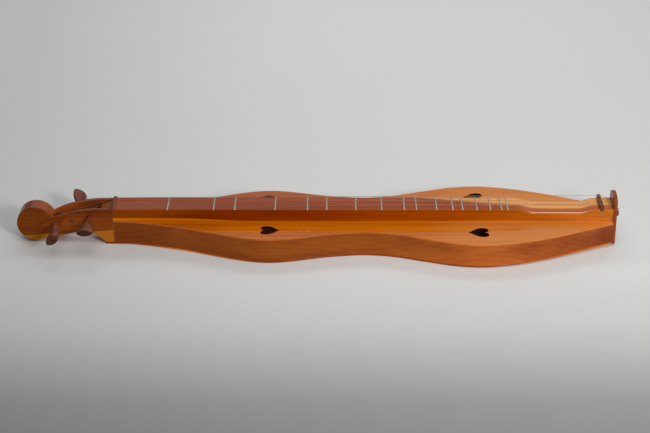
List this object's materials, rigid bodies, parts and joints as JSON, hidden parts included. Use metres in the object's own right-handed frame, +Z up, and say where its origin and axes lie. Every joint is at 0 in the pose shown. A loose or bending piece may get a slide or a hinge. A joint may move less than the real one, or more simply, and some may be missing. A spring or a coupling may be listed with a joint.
{
  "type": "fretted dulcimer",
  "caption": "Mountain dulcimer with an hourglass sound box, heart sound holes, raised fretboard and a pegbox with wooden tuning pegs.",
  "frame": {"origin": "underside of the back, on the centre line, half way along the open strings", "axes": "+X along the strings from the pegbox to the tail, +Y to the bass string's side, +Z up from the back to the strings"},
  "size_m": [0.8904, 0.1794, 0.0768],
  "materials": {
    "head_wood": "gloss",
    "fretboard_wood": "gloss",
    "soundboard_wood": "gloss",
    "side_wood": "gloss",
    "back_wood": "gloss",
    "inner_wood": "matt",
    "dark_wood": "satin",
    "fret_metal": "satin",
    "string_steel": "polished",
    "pin_brass": "polished"
  },
  "bodies": {
    "instrument": {"head_block": "head_wood", "tail_plate": "head_wood", "fretboard": "fretboard_wood", "soundboard_front": "soundboard_wood", "soundboard_rear": "soundboard_wood", "side_front": "side_wood", "side_rear": "side_wood", "back_board": "back_wood", "top_lining_front": "inner_wood", "top_lining_rear": "inner_wood", "back_lining_front": "inner_wood", "back_lining_rear": "inner_wood", "back_brace_upper": "inner_wood", "back_brace_middle": "inner_wood", "back_brace_lower": "inner_wood", "top_brace_upper": "inner_wood", "top_brace_lower": "inner_wood", "tail_block": "inner_wood", "nut": "dark_wood", "bridge": "dark_wood", "end_button": "dark_wood", "fret_01": "fret_metal", "fret_02": "fret_metal", "fret_03": "fret_metal", "fret_04": "fret_metal", "fret_05": "fret_metal", "fret_06": "fret_metal", "fret_07": "fret_metal", "fret_08": "fret_metal", "fret_09": "fret_metal", "fret_10": "fret_metal", "fret_11": "fret_metal", "fret_12": "fret_metal", "fret_13": "fret_metal", "fret_14": "fret_metal", "fret_15": "fret_metal", "fret_16": "fret_metal", "fret_17": "fret_metal", "string_melody": "string_steel", "string_middle": "string_steel", "string_bass": "string_steel", "hitch_pin_melody": "pin_brass", "hitch_pin_middle": "pin_brass", "hitch_pin_bass": "pin_brass"},
    "tuner_melody": {"peg_melody": "dark_wood", "winding_melody": "string_steel"},
    "tuner_middle": {"peg_middle": "dark_wood", "winding_middle": "string_steel"},
    "tuner_bass": {"peg_bass": "dark_wood", "winding_bass": "string_steel"}
  },
  "joints": [
    {"name": "melody_peg_turn", "type": "hinge", "parent": "instrument", "child": "tuner_melody", "pos_m": [-0.3923, 0, 0.0436], "axis": [0, 1, 0], "continuous": true},
    {"name": "middle_peg_turn", "type": "hinge", "parent": "instrument", "child": "tuner_middle", "pos_m": [-0.417, 0, 0.038], "axis": [0, 1, 0], "continuous": true},
    {"name": "bass_peg_turn", "type": "hinge", "parent": "instrument", "child": "tuner_bass", "pos_m": [-0.4399, 0, 0.0335], "axis": [0, 1, 0], "continuous": true}
  ]
}
